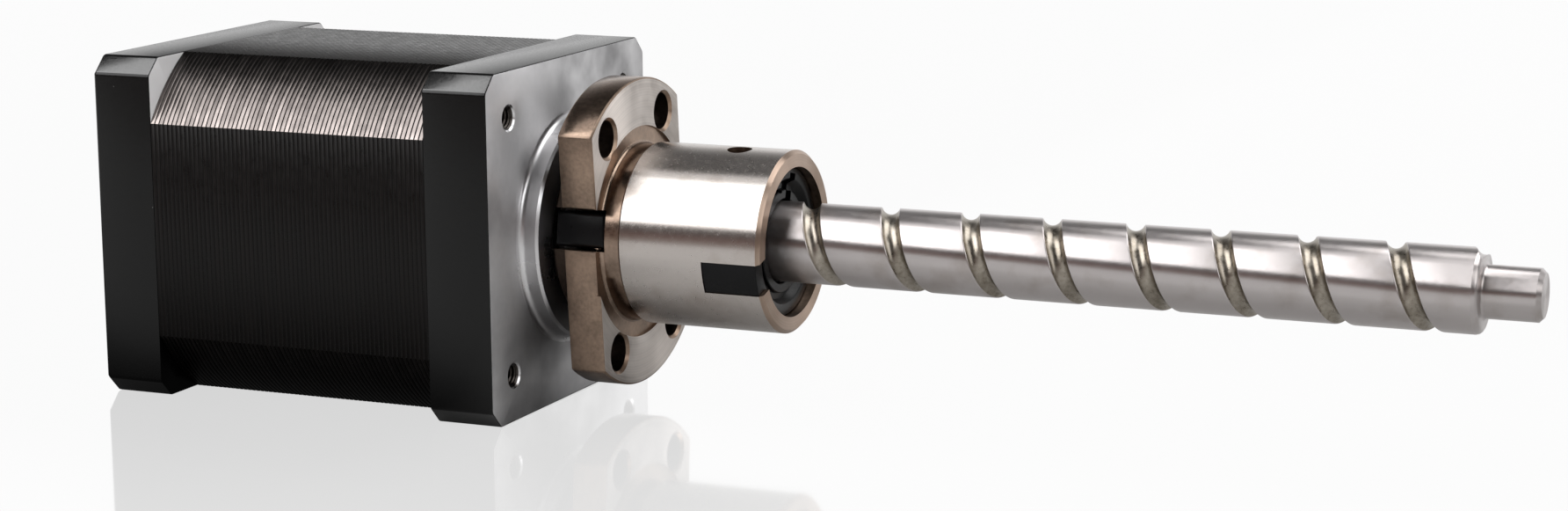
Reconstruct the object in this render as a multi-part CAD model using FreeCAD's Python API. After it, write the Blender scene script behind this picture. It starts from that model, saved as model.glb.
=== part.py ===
import FreeCAD, Part
import math
import os

from FreeCAD import Placement, Rotation, Vector

# Ball screw stepper motor, in millimetres.
# The screw axis is X, towards the free end of the screw. Z is up. The origin is the centre of the
# motor's front mounting face. Angles about the screw are in degrees from +Y towards +Z.

# Motor frame
frame_width = 42.3
cap_corner = 2.1
front_cap_length = 8.4
stack_length = 37.9
rear_cap_length = 8.1
rear_edge_break = 0.4
stack_recess = 0.08
stack_corner_wall = 1.28
front_plate = 2.4
rear_plate = 1.8
cap_wall = 1.95

# Mounting face and pilot
hole_spacing = 31.0
tapped_hole_radius = 1.25
tapped_hole_lead_in = 0.4
tapped_hole_floor = 0.5
pilot_height = 2.4
pilot_wall = 2.5
pilot_fillet = 0.8
pilot_edge_break = 0.3
pilot_lip = 1.0
pilot_lip_overlap = 1.6

# Housing screws that hold the two caps to the stack
housing_screw_radius = 1.45
housing_screw_clearance = 0.2
housing_screw_fit = 0.05
housing_screw_engagement = 2.8
housing_screw_tip_gap = 0.3
screw_head_radius = 2.5
screw_head_gap = 0.15
screw_head_depth = 1.5
screw_head_sink = 0.1
driver_slot_width = 0.6
driver_slot_length = 2.8
driver_slot_depth = 0.8

# Ball bearings that carry the screw
front_bearing_bore = 8.0
front_bearing_outer = 22.0
front_bearing_width = 7.0
front_bearing_ball = 1.95
front_bearing_count = 7
rear_bearing_bore = 5.0
rear_bearing_outer = 16.0
rear_bearing_width = 5.0
rear_bearing_ball = 1.35
rear_bearing_count = 8
race_clearance = 0.1
shoulder_depth = 0.55
cage_half_thickness = 0.45
cage_side = 0.55
seal_thickness = 0.5
seal_inset = 0.25
seal_lip_gap = 0.12
bearing_boss_wall = 2.0
rear_boss_wall = 1.8
seat_fit = 0.02
preload_washer_space = 0.7
preload_washer_thickness = 0.3
preload_washer_width = 2.4
rear_opening_radius = 3.0

# Stator, windings and rotor
pole_count = 8
rotor_tooth_count = 50
rotor_share = 0.27
rotor_tooth_depth = 0.9
tooth_share = 0.46
air_gap = 0.2
pole_shoe_thickness = 1.5
pole_width = 4.0
slot_opening = 1.1
slot_margin = 0.6
rotor_inset = 0.5
magnet_thickness = 3.0
magnet_inset = 1.8
spacer_wall = 1.4
bobbin_plate = 1.0
bobbin_rim = 1.0
bobbin_rim_height = 4.2
bobbin_tab_width = 6.6
bobbin_clearance = 0.4
liner_thickness = 0.5
coil_wire_depth = 2.2
coil_clearance = 0.06
coil_corner = 1.4

# Lead socket in the hidden side of the rear cap
socket_width = 14.0
socket_breadth = 4.8
socket_height = 5.5
socket_stand_out = 3.25
socket_wall = 0.75
socket_floor = 1.0
socket_clearance = 0.1
socket_key_width = 1.6
socket_key_depth = 3.0
pin_count = 6
pin_pitch = 2.0
pin_width = 0.5
pin_length = 3.6

# Ball screw
screw_radius = 4.8
screw_lead = 10.0
thread_length = 110.8
thread_edge_break = 0.65
end_journal_radius = 3.0
end_journal_length = 6.5
end_journal_break = 0.5
end_journal_fillet = 0.35
rear_journal_overhang = 0.3

# Ball track
ball_radius = 1.0
ball_lift = 0.35
track_clearance = 0.12
ball_spacing = 0.06
tunnel_clearance = 0.15
elbow_reach = 2.2

# Ball nut
nut_turn = 5.0
nut_gap = 0.6
nut_radius = 11.0
nut_bore_clearance = 0.4
hub_length = 2.2
flange_thickness = 4.5
neck_length = 2.3
neck_depth = 0.3
neck_fillet = 0.5
nut_body_length = 18.0
nut_edge_break = 0.45
flange_bolt_offset = 4.3
flange_edge = 3.45
flange_flat_step = 1.0
flange_face_groove_width = 1.9
flange_face_groove_depth = 0.4
flange_hole_radius = 2.25
flange_hole_break = 0.35
flange_hole_spread = 30.0
oil_hole_radius = 1.5
oil_hole_setback = 6.7
track_start_inset = 1.5
track_end_inset = 4.8

# Ball deflectors and wiper in the nut
flange_slot_width = 5.0
flange_slot_angle = -14.4
flange_slot_overrun = 0.2
flange_deflector_width = 4.2
flange_deflector_sink = 1.5
flange_deflector_setback = 0.25
end_slot_width = 4.0
end_slot_angle = 10.8
end_slot_reach = 2.6
deflector_fit = 0.05
deflector_screw_gap = 0.5
wiper_wall = 2.0
wiper_depth = 3.2
wiper_thickness = 2.0
wiper_rim = 1.45
wiper_dish = 1.0
wiper_lip = 1.1
wiper_lip_sink = 0.35
wiper_gap = 0.3
wiper_notch_width = 1.6
wiper_notch_depth = 0.4
wiper_notch_angle = 75.0

# Places along the axis
stack_front = -front_cap_length
stack_rear = stack_front - stack_length
motor_rear = stack_rear - rear_cap_length
front_bearing_front = pilot_height - pilot_lip
front_bearing_rear = front_bearing_front - front_bearing_width
rear_wall_inside = motor_rear + rear_plate
rear_bearing_rear = rear_wall_inside + preload_washer_space
rear_bearing_front = rear_bearing_rear + rear_bearing_width
housing_screw_tip = stack_front + housing_screw_engagement
tapped_hole_end = housing_screw_tip + housing_screw_tip_gap + tapped_hole_floor
rotor_front = stack_front - rotor_inset
rotor_rear = stack_rear + rotor_inset
thread_start = front_bearing_front
thread_end = thread_start + thread_length
nut_start = pilot_height + nut_gap
flange_start = nut_start + hub_length
flange_front = flange_start + flange_thickness
body_start = flange_front + neck_length
nut_end = body_start + nut_body_length
wiper_seat = nut_end - wiper_depth

# Radii and distances that follow from the sizes above
half_width = frame_width / 2
rotor_radius = rotor_share * frame_width
hole_reach = hole_spacing / 2
hole_circle_radius = hole_reach * math.sqrt(2)
housing_hole_radius = housing_screw_radius + housing_screw_clearance
head_hole_radius = screw_head_radius + screw_head_gap
stack_corner_radius = hole_circle_radius + housing_hole_radius + stack_corner_wall
cavity_radius = min(half_width - cap_wall, hole_circle_radius - head_hole_radius)
front_bearing_radius = front_bearing_outer / 2
rear_bearing_radius = rear_bearing_outer / 2
front_boss_radius = front_bearing_radius + bearing_boss_wall
rear_boss_radius = rear_bearing_radius + rear_boss_wall
pilot_radius = front_bearing_radius + pilot_wall
shaft_radius = front_bearing_bore / 2
rear_journal_radius = rear_bearing_bore / 2
shaft_bore_radius = shaft_radius + seat_fit
tip_radius = rotor_radius + air_gap
shoe_radius = tip_radius + pole_shoe_thickness
slot_bottom_radius = cavity_radius - slot_margin
bobbin_radius = cavity_radius - bobbin_clearance
bobbin_tab_radius = shoe_radius + bobbin_clearance
bobbin_tab_height = front_bearing_rear - stack_front - bobbin_clearance
coil_inner_radius = max(bobbin_tab_radius + bobbin_rim / 2, front_boss_radius) + coil_clearance
coil_outer_radius = bobbin_radius - bobbin_rim - coil_clearance
arm_width = pole_width + 2 * liner_thickness
ball_circle_radius = screw_radius + ball_lift
track_radius = ball_radius + track_clearance
tunnel_radius = ball_radius + tunnel_clearance
nut_bore_radius = screw_radius + nut_bore_clearance
return_radius = (ball_circle_radius + track_radius + nut_radius) / 2
neck_radius = nut_radius - neck_depth
flange_bolt_radius = nut_radius + flange_bolt_offset
flange_radius = flange_bolt_radius + flange_edge
flat_distance = nut_radius + flange_flat_step
wiper_seat_radius = nut_radius - wiper_wall

# The ball track starts in the flange's slot and ends in the slot at the nut's free end
flat_angle = 180.0 + nut_turn
track_start = nut_start + track_start_inset
track_start_angle = flat_angle + flange_slot_angle
part_turn = (end_slot_angle - flange_slot_angle) / 360.0
whole_turns = round((nut_end - track_end_inset - track_start) / screw_lead - part_turn)
track_turns = max(whole_turns, 1) + part_turn
track_end = track_start + screw_lead * track_turns
track_end_angle = track_start_angle + 360.0 * track_turns
return_angle = flat_angle + (flange_slot_angle + end_slot_angle) / 2

origin = Vector(0, 0, 0)
axis = Vector(1, 0, 0)
lie_along_x = Rotation(Vector(1, 1, 1), 120)
overrun = 1.0


# Shapes about the screw axis

def point_at(x, radius, angle):
    turn = math.radians(angle)
    return Vector(x, radius * math.cos(turn), radius * math.sin(turn))


def cylinder(radius, start, end):
    return Part.makeCylinder(radius, end - start, Vector(start, 0, 0), axis)


def tube(outer, inner, start, end):
    return cylinder(outer, start, end).cut(cylinder(inner, start, end))


def revolve(points):
    corners = [Vector(x, 0, radius) for x, radius in points]
    outline = Part.makePolygon(corners + corners[:1])
    return Part.Face(outline).revolve(origin, axis, 360)


def fillet_circle(shape, size, x, radius):
    near = 1e-6
    rings = [e for e in shape.Edges if isinstance(e.Curve, Part.Circle)]
    rings = [e for e in rings if abs(e.Curve.Center.x - x) < near and abs(e.Curve.Radius - radius) < near]
    return shape.makeFillet(size, rings)


def box(x_span, y_span, z_span):
    low = Vector(min(x_span), min(y_span), min(z_span))
    size = Vector(max(x_span), max(y_span), max(z_span)) - low
    return Part.makeBox(size.x, size.y, size.z, low)


def turned(shape, angle):
    copy = shape.copy()
    copy.rotate(origin, axis, angle)
    return copy


def ring_of(shape, count, first=0.0):
    return [turned(shape, first + 360.0 * i / count) for i in range(count)]


def polar_prism(start, end, corners):
    edges = []
    for (r1, a1), (r2, a2) in zip(corners, corners[1:] + corners[:1]):
        first = point_at(start, r1, a1)
        last = point_at(start, r2, a2)
        if r1 == r2:
            step = (a2 - a1) % 360.0
            if step > 180.0:
                step -= 360.0
            edges.append(Part.Arc(first, point_at(start, r1, a1 + step / 2), last).toShape())
        else:
            edges.append(Part.makeLine(first, last))
    return Part.Face(Part.Wire(edges)).extrude(Vector(end - start, 0, 0))


def rod(start, end, radius):
    return Part.makeCylinder(radius, (end - start).Length, start, end - start)


def at_holes(shape):
    copies = []
    for y in (-hole_reach, hole_reach):
        for z in (-hole_reach, hole_reach):
            copies.append(shape.translated(Vector(0, y, z)))
    return copies


def export(node, shape):
    shape.exportStep("parts/" + node + ".step")


# End caps

def cap_block(start, end):
    flat = half_width - cap_corner
    sides = [(half_width, flat), (flat, half_width), (-flat, half_width), (-half_width, flat)]
    corners = sides + [(-y, -z) for y, z in sides]
    outline = Part.makePolygon([Vector(start, y, z) for y, z in corners + corners[:1]])
    return Part.Face(outline).extrude(Vector(end - start, 0, 0))


def pilot_boss():
    root = Vector(0, 0, pilot_radius + pilot_fillet)
    foot = Vector(pilot_fillet, 0, pilot_radius)
    bend = pilot_fillet * (1 - math.sqrt(0.5))
    sweep = Vector(bend, 0, pilot_radius + bend)
    inner = Vector(-front_plate, 0, 0)
    inner_edge = Vector(-front_plate, 0, root.z)
    edge = Vector(pilot_height - pilot_edge_break, 0, pilot_radius)
    face = Vector(pilot_height, 0, pilot_radius - pilot_edge_break)
    tip = Vector(pilot_height, 0, 0)
    side = Part.Arc(root, sweep, foot).toShape()
    before = Part.makePolygon([tip, inner, inner_edge, root]).Edges
    after = Part.makePolygon([foot, edge, face, tip]).Edges
    outline = Part.Wire(before + [side] + after)
    return Part.Face(outline).revolve(origin, axis, 360)


def front_end_cap():
    cap = cap_block(stack_front, 0).fuse(pilot_boss())
    boss = cylinder(front_boss_radius, front_bearing_rear, overrun)
    cap = cap.cut(cylinder(cavity_radius, stack_front, -front_plate).cut(boss))
    cap = cap.cut(cylinder(front_bearing_radius + seat_fit, stack_front, front_bearing_front))
    cap = cap.cut(cylinder(front_bearing_radius - pilot_lip_overlap, 0, pilot_height + overrun))
    lead_in = tapped_hole_radius + tapped_hole_lead_in
    mouth = [(-tapped_hole_lead_in, tapped_hole_radius), (0, lead_in), (overrun, lead_in)]
    inside = [(tapped_hole_end, 0), (tapped_hole_end, tapped_hole_radius)]
    hole = revolve(inside + mouth + [(overrun, 0)])
    screw_hole_end = housing_screw_tip + housing_screw_tip_gap
    screw_hole = cylinder(housing_screw_radius, stack_front - overrun, screw_hole_end)
    return cap.cut(at_holes(hole) + at_holes(screw_hole)).removeSplitter()


def rear_end_cap():
    cap = cap_block(motor_rear, stack_rear)
    rear_edges = [e for e in cap.Edges if e.BoundBox.XMax < motor_rear + rear_edge_break]
    cap = cap.makeChamfer(rear_edge_break, rear_edges)
    boss = cylinder(rear_boss_radius, motor_rear, rear_bearing_front)
    cap = cap.cut(cylinder(cavity_radius, rear_wall_inside, stack_rear).cut(boss))
    cap = cap.cut(cylinder(rear_bearing_radius + seat_fit, rear_wall_inside, stack_rear))
    cap = cap.cut(cylinder(rear_opening_radius, motor_rear - overrun, stack_rear))
    hole = cylinder(housing_hole_radius, motor_rear - overrun, stack_rear + overrun)
    head = cylinder(head_hole_radius, motor_rear - overrun, motor_rear + screw_head_depth)
    cap = cap.cut(at_holes(hole.fuse(head)))
    reach = socket_width / 2 + socket_clearance
    depth = socket_breadth + 2 * socket_clearance
    window = box((stack_rear - depth, stack_rear), (bobbin_radius, half_width + overrun), (-reach, reach))
    return cap.cut(window)


def housing_screws():
    head_face = motor_rear + screw_head_sink
    head_seat = motor_rear + screw_head_depth
    screw = cylinder(screw_head_radius, head_face, head_seat)
    screw = screw.fuse(cylinder(housing_screw_radius, head_seat, stack_front))
    screw = screw.fuse(cylinder(housing_screw_radius - housing_screw_fit, stack_front, housing_screw_tip))
    slot_end = head_face + driver_slot_depth
    long = driver_slot_length / 2
    short = driver_slot_width / 2
    slot_span = (motor_rear - overrun, slot_end)
    screw = screw.cut(box(slot_span, (-long, long), (-short, short)))
    screw = screw.cut(box(slot_span, (-short, short), (-long, long)))
    return Part.makeCompound(at_holes(screw))


# Stator and windings

def stator_bore(start, end):
    pole_pitch = 360.0 / pole_count
    tooth_pitch = 360.0 / rotor_tooth_count
    notch = tooth_pitch * (1 - tooth_share)
    shoe_half = pole_pitch / 2 - math.degrees(math.asin(slot_opening / 2 / tip_radius))
    teeth = int((2 * shoe_half + notch) / tooth_pitch)
    side_at_shoe = math.degrees(math.asin(pole_width / 2 / shoe_radius))
    side_at_bottom = math.degrees(math.asin(pole_width / 2 / slot_bottom_radius))
    notch_radius = tip_radius + rotor_tooth_depth
    corners = []
    for i in range(pole_count):
        pole = pole_pitch * i
        slot_end = pole + pole_pitch
        corners += [(shoe_radius, pole - shoe_half), (tip_radius, pole - shoe_half)]
        for j in range(teeth - 1):
            middle = pole + (j - (teeth - 2) / 2) * tooth_pitch
            left = middle - notch / 2
            right = middle + notch / 2
            corners += [(tip_radius, left), (notch_radius, left), (notch_radius, right), (tip_radius, right)]
        corners += [(tip_radius, pole + shoe_half), (shoe_radius, pole + shoe_half)]
        corners += [(shoe_radius, pole + side_at_shoe), (slot_bottom_radius, pole + side_at_bottom)]
        corners += [(slot_bottom_radius, slot_end - side_at_bottom), (shoe_radius, slot_end - side_at_shoe)]
    return polar_prism(start, end, corners)


def stator_laminations():
    side = half_width - stack_recess
    stack = box((stack_rear, stack_front), (-side, side), (-side, side))
    stack = stack.common(cylinder(stack_corner_radius, stack_rear, stack_front))
    start = stack_rear - overrun
    end = stack_front + overrun
    holes = at_holes(cylinder(housing_hole_radius, start, end))
    return stack.cut([stator_bore(start, end)] + holes)


def winding_bobbin(face, side):
    plate_end = face + side * bobbin_plate
    rim_end = face + side * bobbin_rim_height
    tab_end = face + side * bobbin_tab_height
    rim_span = sorted((face, rim_end))
    rim = tube(bobbin_radius, bobbin_radius - bobbin_rim, rim_span[0], rim_span[1])
    tab_span = sorted((face, tab_end))
    tab_ring = tube(bobbin_tab_radius + bobbin_rim / 2, bobbin_tab_radius, tab_span[0], tab_span[1])
    across = (-bobbin_tab_width / 2, bobbin_tab_width / 2)
    tab = tab_ring.common(box(tab_span, (0, bobbin_radius), across))
    arm_length = (bobbin_tab_radius + bobbin_rim / 4, bobbin_radius - bobbin_rim / 2)
    arm = box((face, plate_end), arm_length, (-arm_width / 2, arm_width / 2))
    return rim.fuse(ring_of(arm.fuse(tab), pole_count)).removeSplitter()


def coil_windings():
    inside = coil_clearance
    outside = coil_wire_depth
    hole_front = stack_front + bobbin_plate + inside
    hole_rear = stack_rear - bobbin_plate - inside
    hole_side = arm_width / 2 + inside
    radial = (coil_inner_radius, coil_outer_radius)
    coil_side = hole_side + outside
    coil = box((hole_rear - outside, hole_front + outside), radial, (-coil_side, coil_side))
    corner_edges = [e for e in coil.Edges if e.BoundBox.XLength + e.BoundBox.ZLength < outside]
    coil = coil.makeFillet(min(coil_corner, outside / 2), corner_edges)
    coil = coil.common(cylinder(coil_outer_radius, hole_rear - outside, hole_front + outside))
    coil = coil.cut(box((hole_rear, hole_front), radial, (-hole_side, hole_side)))
    return Part.makeCompound(ring_of(coil, pole_count))


# Lead socket

def socket_place():
    rear = stack_rear - socket_breadth - socket_clearance
    front = stack_rear - socket_clearance
    base = half_width + socket_stand_out - socket_height
    return rear, front, base


def lead_socket():
    rear, front, base = socket_place()
    reach = socket_width / 2
    top = base + socket_height
    body = box((rear, front), (base, top), (-reach, reach))
    inside = (rear + socket_wall, front - socket_wall)
    hollow_reach = reach - socket_wall
    hollow = box(inside, (base + socket_floor, top + overrun), (-hollow_reach, hollow_reach))
    body = body.cut(hollow)
    key_span = (rear - overrun, rear + socket_wall)
    for z in (-reach / 2, reach / 2):
        key = (z - socket_key_width / 2, z + socket_key_width / 2)
        body = body.cut(box(key_span, (top - socket_key_depth, top + overrun), key))
    return body


def socket_pins():
    rear, front, base = socket_place()
    floor = base + socket_floor
    middle = (rear + front) / 2
    half = pin_width / 2
    pins = []
    for i in range(pin_count):
        z = (i - (pin_count - 1) / 2) * pin_pitch
        pins.append(box((middle - half, middle + half), (floor, floor + pin_length), (z - half, z + half)))
    return Part.makeCompound(pins)


# Ball bearings

def bearing_rings(start, end, bore, outer, ball):
    middle = (start + end) / 2
    circle = (bore + outer) / 2
    shoulder = ball - shoulder_depth
    groove = Part.makeTorus(circle, ball + race_clearance, Vector(middle, 0, 0), axis)
    outer_ring = tube(outer, circle + shoulder, start, end).cut(groove)
    inner_ring = tube(circle - shoulder, bore + seat_fit, start, end).cut(groove)
    return outer_ring, inner_ring


def bearing_balls(start, end, bore, outer, ball, count):
    middle = (start + end) / 2
    circle = (bore + outer) / 2
    one = Part.makeSphere(ball, Vector(middle, circle, 0))
    return Part.makeCompound(ring_of(one, count))


def bearing_cage(start, end, bore, outer, ball, count):
    middle = (start + end) / 2
    circle = (bore + outer) / 2
    reach = ball + cage_side
    ring = tube(circle + cage_half_thickness, circle - cage_half_thickness, middle - reach, middle + reach)
    pocket = Part.makeSphere(ball + race_clearance, Vector(middle, circle, 0))
    return ring.cut(ring_of(pocket, count))


def front_bearing_seal():
    circle = (shaft_radius + front_bearing_radius) / 2
    shoulder = front_bearing_ball - shoulder_depth
    face = front_bearing_front - seal_inset
    outer = circle + shoulder - seat_fit
    inner = circle - shoulder + seal_lip_gap
    return tube(outer, inner, face - seal_thickness, face)


def preload_washer():
    low = rear_wall_inside
    high = rear_bearing_rear - preload_washer_thickness
    outer = rear_bearing_radius - bobbin_clearance
    inner = outer - preload_washer_width
    thick = preload_washer_thickness
    return revolve([(low, inner), (high, outer), (high + thick, outer), (low + thick, inner)])


# Rotor

def toothed_core(start, end, first_angle):
    pitch = 360.0 / rotor_tooth_count
    half_tooth = pitch * tooth_share / 2
    root = rotor_radius - rotor_tooth_depth
    corners = []
    for i in range(rotor_tooth_count):
        left = first_angle + pitch * i - half_tooth
        right = left + 2 * half_tooth
        corners += [(root, left), (rotor_radius, left), (rotor_radius, right), (root, right)]
    core = polar_prism(start, end, corners)
    return core.cut(cylinder(shaft_bore_radius, start, end))


# Ball screw and its helical track

def track_angle(x):
    return track_start_angle + 360.0 * (x - track_start) / screw_lead


def groove_turn(start, end):
    path = Part.makeHelix(screw_lead, end - start, ball_circle_radius)
    rise = Vector(0, 2 * math.pi * ball_circle_radius, screw_lead)
    section = Part.Circle(Vector(ball_circle_radius, 0, 0), rise, track_radius).toShape()
    groove = path.makePipeShell([Part.Wire(section)], True, True)
    turn = Rotation(axis, track_angle(start)).multiply(lie_along_x)
    groove.Placement = Placement(Vector(start, 0, 0), turn)
    return groove


def helical_groove(start, end):
    turns = math.ceil((end - start) / screw_lead)
    starts = [start + screw_lead * i for i in range(turns)]
    return [groove_turn(x, min(x + screw_lead, end)) for x in starts]


def ball_screw():
    crest = screw_radius - thread_edge_break
    bevel = thread_end - thread_edge_break
    tip = thread_end + end_journal_length
    tip_bevel = tip - end_journal_break
    tip_radius_small = end_journal_radius - end_journal_break
    blank = [(thread_start, 0), (thread_start, screw_radius), (bevel, screw_radius), (thread_end, crest)]
    blank += [(thread_end, end_journal_radius), (tip_bevel, end_journal_radius)]
    blank += [(tip, tip_radius_small), (tip, 0)]
    screw = fillet_circle(revolve(blank), end_journal_fillet, thread_end, end_journal_radius)
    run_out = screw_lead / 4
    screw = screw.cut(helical_groove(thread_start - run_out, thread_end + run_out))
    rear_tip = rear_bearing_rear - rear_journal_overhang
    motor_end = [(rear_tip, 0), (rear_tip, rear_journal_radius), (rear_bearing_front, rear_journal_radius)]
    motor_end += [(rear_bearing_front, shaft_radius), (thread_start, shaft_radius), (thread_start, 0)]
    return screw.fuse(revolve(motor_end)).removeSplitter()


# Ball nut, with the passage that brings the balls back

def passage_points():
    start = point_at(track_start, ball_circle_radius, track_start_angle)
    start_elbow = point_at(track_start + elbow_reach, return_radius, return_angle)
    end_elbow = point_at(track_end - elbow_reach, return_radius, return_angle)
    end = point_at(track_end, ball_circle_radius, track_end_angle)
    return [end, end_elbow, start_elbow, start]


def return_passage():
    points = passage_points()
    parts = [Part.makeSphere(tunnel_radius, p) for p in points]
    parts += [rod(a, b, tunnel_radius) for a, b in zip(points, points[1:])]
    return parts[0].fuse(parts[1:])


def radial_block(x_span, r_span, width, angle):
    return turned(box(x_span, r_span, (-width / 2, width / 2)), angle)


def end_slot_start():
    return track_end - end_slot_reach


def ball_nut(track, passage):
    bevel = nut_edge_break
    face_groove = neck_radius + flange_face_groove_width + neck_depth
    groove_floor = flange_front - flange_face_groove_depth
    outline = [(nut_start, 0), (nut_start, nut_radius - bevel), (nut_start + bevel, nut_radius)]
    outline += [(flange_start, nut_radius), (flange_start, flange_radius), (flange_front, flange_radius)]
    outline += [(flange_front, face_groove), (groove_floor, face_groove), (groove_floor, neck_radius)]
    outline += [(body_start - neck_depth, neck_radius), (body_start, nut_radius)]
    outline += [(nut_end - bevel, nut_radius), (nut_end, nut_radius - bevel), (nut_end, 0)]
    nut = fillet_circle(revolve(outline), neck_fillet, groove_floor, neck_radius)
    flange_span = (flange_start, flange_front)
    waste = box(flange_span, (flat_distance, flange_radius + overrun), (-flange_radius, flange_radius))
    tools = [turned(waste, nut_turn), turned(waste, flat_angle)]
    lip = flange_hole_radius + flange_hole_break
    hole = revolve(
        [(flange_start - overrun, 0), (flange_start - overrun, flange_hole_radius)]
        + [(flange_front - flange_hole_break, flange_hole_radius), (flange_front, lip)]
        + [(flange_front + overrun, lip), (flange_front + overrun, 0)]
    )
    hole.translate(Vector(0, flange_bolt_radius, 0))
    for lobe in (90.0, 270.0):
        for spread in (-flange_hole_spread, flange_hole_spread):
            tools.append(turned(hole, nut_turn + lobe + spread))
    tools.append(cylinder(nut_bore_radius, nut_start - overrun, nut_end + overrun))
    tools.append(cylinder(wiper_seat_radius, wiper_seat, nut_end + overrun))
    outside = (0, flange_radius + overrun)
    flange_slot = (nut_start - overrun, flange_front + flange_slot_overrun)
    tools.append(radial_block(flange_slot, outside, flange_slot_width, track_start_angle))
    end_slot = (end_slot_start(), nut_end + overrun)
    tools.append(radial_block(end_slot, outside, end_slot_width, track_end_angle))
    oil_x = nut_end - oil_hole_setback
    top = nut_turn + 90.0
    oil_inside = point_at(oil_x, ball_circle_radius, top)
    oil_outside = point_at(oil_x, flange_radius, top)
    tools.append(rod(oil_inside, oil_outside, oil_hole_radius))
    return nut.cut(tools).cut(track).cut(passage)


def flange_end_deflector(track, passage):
    span = (nut_start + flange_deflector_setback, flange_front + flange_slot_overrun - deflector_fit)
    inner = screw_radius + deflector_screw_gap
    outer = flat_distance - flange_deflector_sink
    block = radial_block(span, (0, outer), flange_deflector_width, track_start_angle)
    block = block.cut(cylinder(inner, span[0] - overrun, span[1] + overrun))
    return block.cut(track).cut(passage)


def free_end_deflector(track, passage):
    span = (end_slot_start() + deflector_fit, nut_end - nut_edge_break)
    inner = screw_radius + deflector_screw_gap
    width = end_slot_width - 2 * deflector_fit
    block = radial_block(span, (0, flange_radius), width, track_end_angle)
    block = block.common(cylinder(nut_radius - deflector_fit, span[0] - overrun, nut_end))
    block = block.cut(cylinder(inner, span[0] - overrun, nut_end + overrun))
    block = block.cut(cylinder(wiper_seat_radius + deflector_fit, wiper_seat - deflector_fit, nut_end))
    return block.cut(track).cut(passage)


def free_end_wiper():
    base = wiper_seat + deflector_fit
    face = base + wiper_thickness
    floor = face - wiper_dish
    outer = wiper_seat_radius - deflector_fit
    rim = outer - wiper_rim
    inner = screw_radius + wiper_gap
    dish = rim - wiper_dish / 2
    lip = inner + wiper_lip
    lip_face = face - wiper_lip_sink
    outline = [(base, inner), (base, outer), (face, outer), (face, rim), (floor, dish)]
    ring = revolve(outline + [(floor, lip), (lip_face, lip), (lip_face, inner)])
    notch_span = (floor - wiper_notch_depth, face + overrun)
    notch_reach = (screw_radius, outer - wiper_rim / 2)
    return ring.cut(radial_block(notch_span, notch_reach, wiper_notch_width, wiper_notch_angle))


def recirculating_balls():
    steps_per_turn = 720
    steps = int(track_turns * steps_per_turn)
    route = []
    for i in range(steps + 1):
        x = track_start + (track_end - track_start) * i / steps
        route.append(point_at(x, ball_circle_radius, track_angle(x)))
    points = passage_points()
    for a, b in zip(points, points[1:]):
        pieces = int((b - a).Length / ball_spacing)
        route += [a + (b - a) * (i / pieces) for i in range(1, pieces + 1)]
    pitch = 2 * ball_radius + ball_spacing
    centres = [route[0]]
    for p in route:
        if (p - centres[-1]).Length >= pitch and (p - centres[0]).Length >= pitch:
            centres.append(p)
    return Part.makeCompound([Part.makeSphere(ball_radius, p) for p in centres])


# The whole motor, one file for each node

os.makedirs("parts", exist_ok=True)

export("front_end_cap", front_end_cap())
export("rear_end_cap", rear_end_cap())
export("housing_screws", housing_screws())
export("stator_laminations", stator_laminations())
export("front_winding_bobbin", winding_bobbin(stack_front, 1))
export("rear_winding_bobbin", winding_bobbin(stack_rear, -1))
export("coil_windings", coil_windings())
export("lead_socket", lead_socket())
export("socket_pins", socket_pins())

front_sizes = (shaft_radius, front_bearing_radius, front_bearing_ball)
rear_sizes = (rear_journal_radius, rear_bearing_radius, rear_bearing_ball)
bearings = {
    "front": ((front_bearing_rear, front_bearing_front) + front_sizes, front_bearing_count),
    "rear": ((rear_bearing_rear, rear_bearing_front) + rear_sizes, rear_bearing_count),
}
for end_name, (place, count) in bearings.items():
    outer_ring, inner_ring = bearing_rings(*place)
    export(end_name + "_bearing_outer_ring", outer_ring)
    export(end_name + "_bearing_inner_ring", inner_ring)
    export(end_name + "_bearing_balls", bearing_balls(*place, count))
    export(end_name + "_bearing_cage", bearing_cage(*place, count))
export("front_bearing_seal", front_bearing_seal())
export("bearing_preload_washer", preload_washer())

magnet_front = (rotor_front + rotor_rear + magnet_thickness) / 2
magnet_rear = magnet_front - magnet_thickness
half_pitch = 180.0 / rotor_tooth_count
export("front_rotor_core", toothed_core(magnet_front, rotor_front, 0.0))
export("rear_rotor_core", toothed_core(rotor_rear, magnet_rear, half_pitch))
export("rotor_magnet", tube(rotor_radius - magnet_inset, shaft_bore_radius, magnet_rear, magnet_front))
spacer_radius = shaft_bore_radius + spacer_wall
export("rotor_spacer", tube(spacer_radius, shaft_bore_radius, rotor_front, front_bearing_rear))
export("ball_screw", ball_screw())

nut_track = helical_groove(track_start, track_end)
ball_passage = return_passage()
export("ball_nut", ball_nut(nut_track, ball_passage))
export("recirculating_balls", recirculating_balls())
export("flange_end_deflector", flange_end_deflector(nut_track, ball_passage))
export("free_end_deflector", free_end_deflector(nut_track, ball_passage))
export("free_end_wiper", free_end_wiper())
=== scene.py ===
import math

import bmesh
import bpy
from mathutils import Matrix, Vector


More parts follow.
